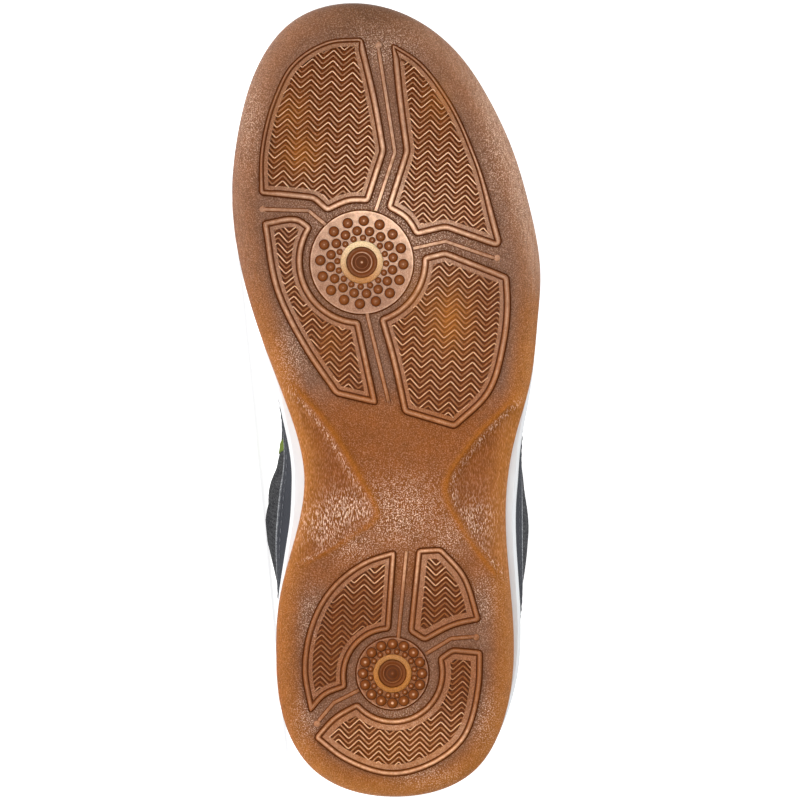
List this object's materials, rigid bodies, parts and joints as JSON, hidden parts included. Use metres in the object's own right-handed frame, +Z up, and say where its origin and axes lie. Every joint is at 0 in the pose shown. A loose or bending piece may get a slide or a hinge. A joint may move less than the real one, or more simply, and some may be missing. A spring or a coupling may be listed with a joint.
{
  "type": "indoor court shoe",
  "caption": "Low left court shoe lying on its inner side, with a gum rubber sole of herringbone panels and pivot discs, a white midsole and a dark textile upper.",
  "frame": {"origin": "on the floor, under the centre of the box round the shoe as it lies on its inner side", "axes": "+X from the toe to the heel, +Y from the tread to the collar, +Z up from the floor, towards the outer side of the foot"},
  "size_m": [0.286, 0.1086, 0.1082],
  "materials": {
    "gum_rubber": "satin",
    "white_foam": "matte",
    "insole_foam": "matte",
    "mesh_textile": "matte",
    "slate_synthetic": "satin",
    "lace_cord": "matte"
  },
  "bodies": {
    "root": {"outsole": "gum_rubber", "midsole": "white_foam", "insole": "insole_foam", "upper": "mesh_textile", "toe_guard": "slate_synthetic", "heel_counter": "slate_synthetic", "eyestay": "slate_synthetic", "tongue": "mesh_textile", "lace": "lace_cord"}
  },
  "joints": []
}
